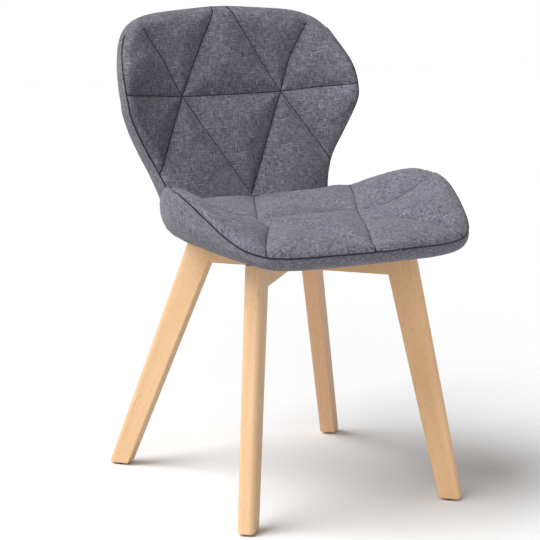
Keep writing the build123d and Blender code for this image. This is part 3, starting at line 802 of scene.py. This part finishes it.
# pale colour of each leg: partly the wood's own tone and partly painted light. It is paler and greyer on the
# front left leg for its brightly lit face, and deeper and redder on the right legs for the shade under the
# seat
LEG_PALE_WITH_PAINTED_LIGHT = {
    "front_left": (0.97, 0.66, 0.395), "front_right": (0.97, 0.62, 0.335),
    "rear_left": (0.97, 0.65, 0.375), "rear_right": (0.96, 0.60, 0.380),
}
for index, end in enumerate(("front", "rear")):
    for side in ("left", "right"):
        low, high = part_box(f"leg_{end}_{side}")
        way_x, way_y = (1 if side == "left" else -1), (1 if end == "front" else -1)
        wide, deep, tall = (top - foot for foot, top in zip(low, high))
        lean = (way_x * (wide - LEG_WIDTH), way_y * (deep - LEG_WIDTH), tall)
        # each leg is cut from its own stretch of the grain
        shift = (0.3 * index, 0.2 * way_x, 0.1 * index + 0.05 * way_x)
        # pale colour of this leg, partly its own tone and partly painted light and shade
        leg_pale_with_light = LEG_PALE_WITH_PAINTED_LIGHT[f"{end}_{side}"]
        paint([f"leg_{end}_{side}"], wood_material(f"beech_leg_{end}_{side}", lean, leg_pale_with_light, DEEP, shift))
for rail, way_y in (("rail_lower", -1), ("rail_upper", 1)):
    low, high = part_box(rail)
    direction = (high[0] - low[0], way_y * (high[1] - low[1]), 0)
    paint([rail], wood_material(f"beech_{rail}", direction, PALE, DEEP, RAIL_SHIFT))
paint(["rail_dowels"], wood_material("beech_dowels", ACROSS, PALE, DEEP, NO_SHIFT))
plywood = wood_material("plywood", ACROSS, PLY_PALE, PLY_DEEP, NO_SHIFT)
paint(["seat_plywood", "back_plywood"], plywood)
print("beech materials", sum(1 for m in bpy.data.materials if m.name.startswith("beech")))

# %% [markdown]
# ## Steel and plastic
# The bolts, washers and brackets are zinc-plated steel, which is dull and a little blotchy. The floor
# glides are black plastic, scuffed where they slide, so their roughness changes over the face.


# %% Steel and plastic materials
def speckled(name, base, second, metallic, rough_low, rough_high, scale):
    """A finish whose colour and roughness drift from patch to patch."""
    material = bpy.data.materials.new(name)
    material.use_nodes = True
    tree = material.node_tree
    shader = tree.nodes["Principled BSDF"]
    place = node(tree, "ShaderNodeTexCoord")
    patches = stretched_noise(tree, place.outputs["Object"], (scale, scale, scale), 4)
    mixed = node(tree, "ShaderNodeMix", data_type="RGBA")
    link(tree, patches, mixed.inputs["Factor"])
    mixed.inputs["A"].default_value = (*base, 1)
    mixed.inputs["B"].default_value = (*second, 1)
    link(tree, mixed.outputs["Result"], shader.inputs["Base Color"])
    spread = node(tree, "ShaderNodeMapRange")
    spread.inputs["To Min"].default_value = rough_low
    spread.inputs["To Max"].default_value = rough_high
    link(tree, patches, spread.inputs["Value"])
    link(tree, spread.outputs["Result"], shader.inputs["Roughness"])
    shader.inputs["Metallic"].default_value = metallic
    return material


steel = speckled("zinc_steel", (0.58, 0.58, 0.57), (0.42, 0.42, 0.42), 1.0, 0.3, 0.5, 400)
plastic = speckled("black_plastic", (0.03, 0.03, 0.03), (0.06, 0.055, 0.05), 0.0, 0.5, 0.75, 700)
paint(
    ["seat_bolts", "seat_washers", "seat_tee_nuts", "bracket_left", "bracket_right", "bracket_bolts",
     "bracket_tee_nuts", "glide_nails"],
    steel,
)
paint([f"glide_{end}_{side}" for end in ("front", "rear") for side in ("left", "right")], plastic)
print("steel and plastic materials", steel.name, plastic.name)

# %% [markdown]
# ## Studio floor
# The photograph is a catalogue picture on white, so the chair stands on a large pale plane that takes a
# soft shadow. A floor that gave back all of its light would flatten the shading of the cushions, so a Light
# Path node makes it near white to the camera and a middle grey to every other ray.

# %% Floor
FLOOR_TO_LIGHT, FLOOR_TO_CAMERA = (0.62, 0.62, 0.62, 1), (0.97, 0.97, 0.97, 1)
floor_mesh = bpy.data.meshes.new("floor")
built = bmesh.new()
bmesh.ops.create_grid(built, x_segments=1, y_segments=1, size=6)
built.to_mesh(floor_mesh)
built.free()
floor = bpy.data.objects.new("floor", floor_mesh)
scene.collection.objects.link(floor)
floor_paint = bpy.data.materials.new("white_floor")
floor_paint.use_nodes = True
floor_tree = floor_paint.node_tree
floor_shader = floor_tree.nodes["Principled BSDF"]
floor_shader.inputs["Roughness"].default_value = 0.8
floor_rays = node(floor_tree, "ShaderNodeLightPath")
floor_shade = node(floor_tree, "ShaderNodeMix", data_type="RGBA")
link(floor_tree, floor_rays.outputs["Is Camera Ray"], floor_shade.inputs["Factor"])
floor_shade.inputs["A"].default_value = FLOOR_TO_LIGHT
floor_shade.inputs["B"].default_value = FLOOR_TO_CAMERA
link(floor_tree, floor_shade.outputs["Result"], floor_shader.inputs["Base Color"])
floor.data.materials.append(floor_paint)
print("floor", [round(side, 1) for side in floor.dimensions])

# %% [markdown]
# ## White surroundings
# The world fills in the light that no lamp gives. A bright world would wash out the folds of the cloth, so
# its light is weak, and a second background in plain white is what the camera sees and what shiny faces
# mirror.

# %% World
WHITE = (1, 1, 1, 1)
world = bpy.data.worlds.new("studio")
scene.world = world
world.use_nodes = True
sky = world.node_tree
sky_light = sky.nodes["Background"]
sky_light.inputs["Color"].default_value = WHITE
sky_light.inputs["Strength"].default_value = 0.16
seen = node(sky, "ShaderNodeBackground")
seen.inputs["Color"].default_value = WHITE
seen.inputs["Strength"].default_value = 1.0
rays = node(sky, "ShaderNodeLightPath")
direct = math_node(sky, "MAXIMUM", rays.outputs["Is Camera Ray"], rays.outputs["Is Glossy Ray"])
direct = math_node(sky, "MAXIMUM", direct, rays.outputs["Is Transmission Ray"])
choose = node(sky, "ShaderNodeMixShader")
link(sky, direct, choose.inputs["Fac"])
link(sky, sky_light.outputs["Background"], choose.inputs[1])
link(sky, seen.outputs["Background"], choose.inputs[2])
link(sky, choose.outputs["Shader"], sky.nodes["World Output"].inputs["Surface"])
print("world nodes", len(sky.nodes))

# %% [markdown]
# ## Lamps
# A catalogue studio lights a chair with large soft boxes. Two suns with a wide angle stand for them here,
# one at the upper left and a weaker one at the front left, because a sun shines evenly and needs only a
# direction. A small lamp by the floor at the right lights the legs.


# %% Lamps
def soft_sun(name, toward, strength, softness):
    """A distant lamp with soft shadows that shines from a direction."""
    data = bpy.data.lights.new(name, "SUN")
    data.energy = strength
    data.angle = radians(softness)
    lamp = bpy.data.objects.new(name, data)
    lamp.rotation_euler = Vector(toward).to_track_quat("Z", "Y").to_euler()
    scene.collection.objects.link(lamp)


soft_sun("upper_left", (-0.55, 0.10, 0.83), 3.0, 45)
soft_sun("front_left", (-0.66, -0.68, 0.30), 0.78, 50)

LOW_PLACE, LOW_AIM = Vector((0.62, -0.66, 0.12)), Vector((0.02, 0.0, 0.14))
fill = bpy.data.lights.new("low_right", "AREA")
fill.size = 0.2
fill.energy = 0.8
fill_lamp = bpy.data.objects.new("low_right", fill)
fill_lamp.location = LOW_PLACE
fill_lamp.rotation_euler = (LOW_PLACE - LOW_AIM).to_track_quat("Z", "Y").to_euler()
scene.collection.objects.link(fill_lamp)
print("lamps", [lamp.name for lamp in bpy.data.lights])

# %% [markdown]
# ## Camera
# The place, the turn and the focal length were solved from the photograph, so that a render lies over it.
# The Standard view keeps the colours as they were mixed.

# %% Camera
SENSOR = 36
PHOTO_PIXELS, FOCAL_PIXELS = 540, 1930.3
LOOK_DOWN, LOOK_RIGHT = 11.197, 27.886
lens = bpy.data.cameras.new("camera")
lens.sensor_width = SENSOR
lens.lens = FOCAL_PIXELS / PHOTO_PIXELS * SENSOR
lens.clip_end = 50
camera = bpy.data.objects.new("camera", lens)
camera.location = (-1.4091, -2.6011, 0.9274)
camera.rotation_euler = (radians(90 - LOOK_DOWN), 0, radians(-LOOK_RIGHT))
scene.collection.objects.link(camera)
scene.camera = camera
scene.view_settings.view_transform = "Standard"
print("camera", [round(c, 3) for c in camera.location], "lens", round(lens.lens, 1))
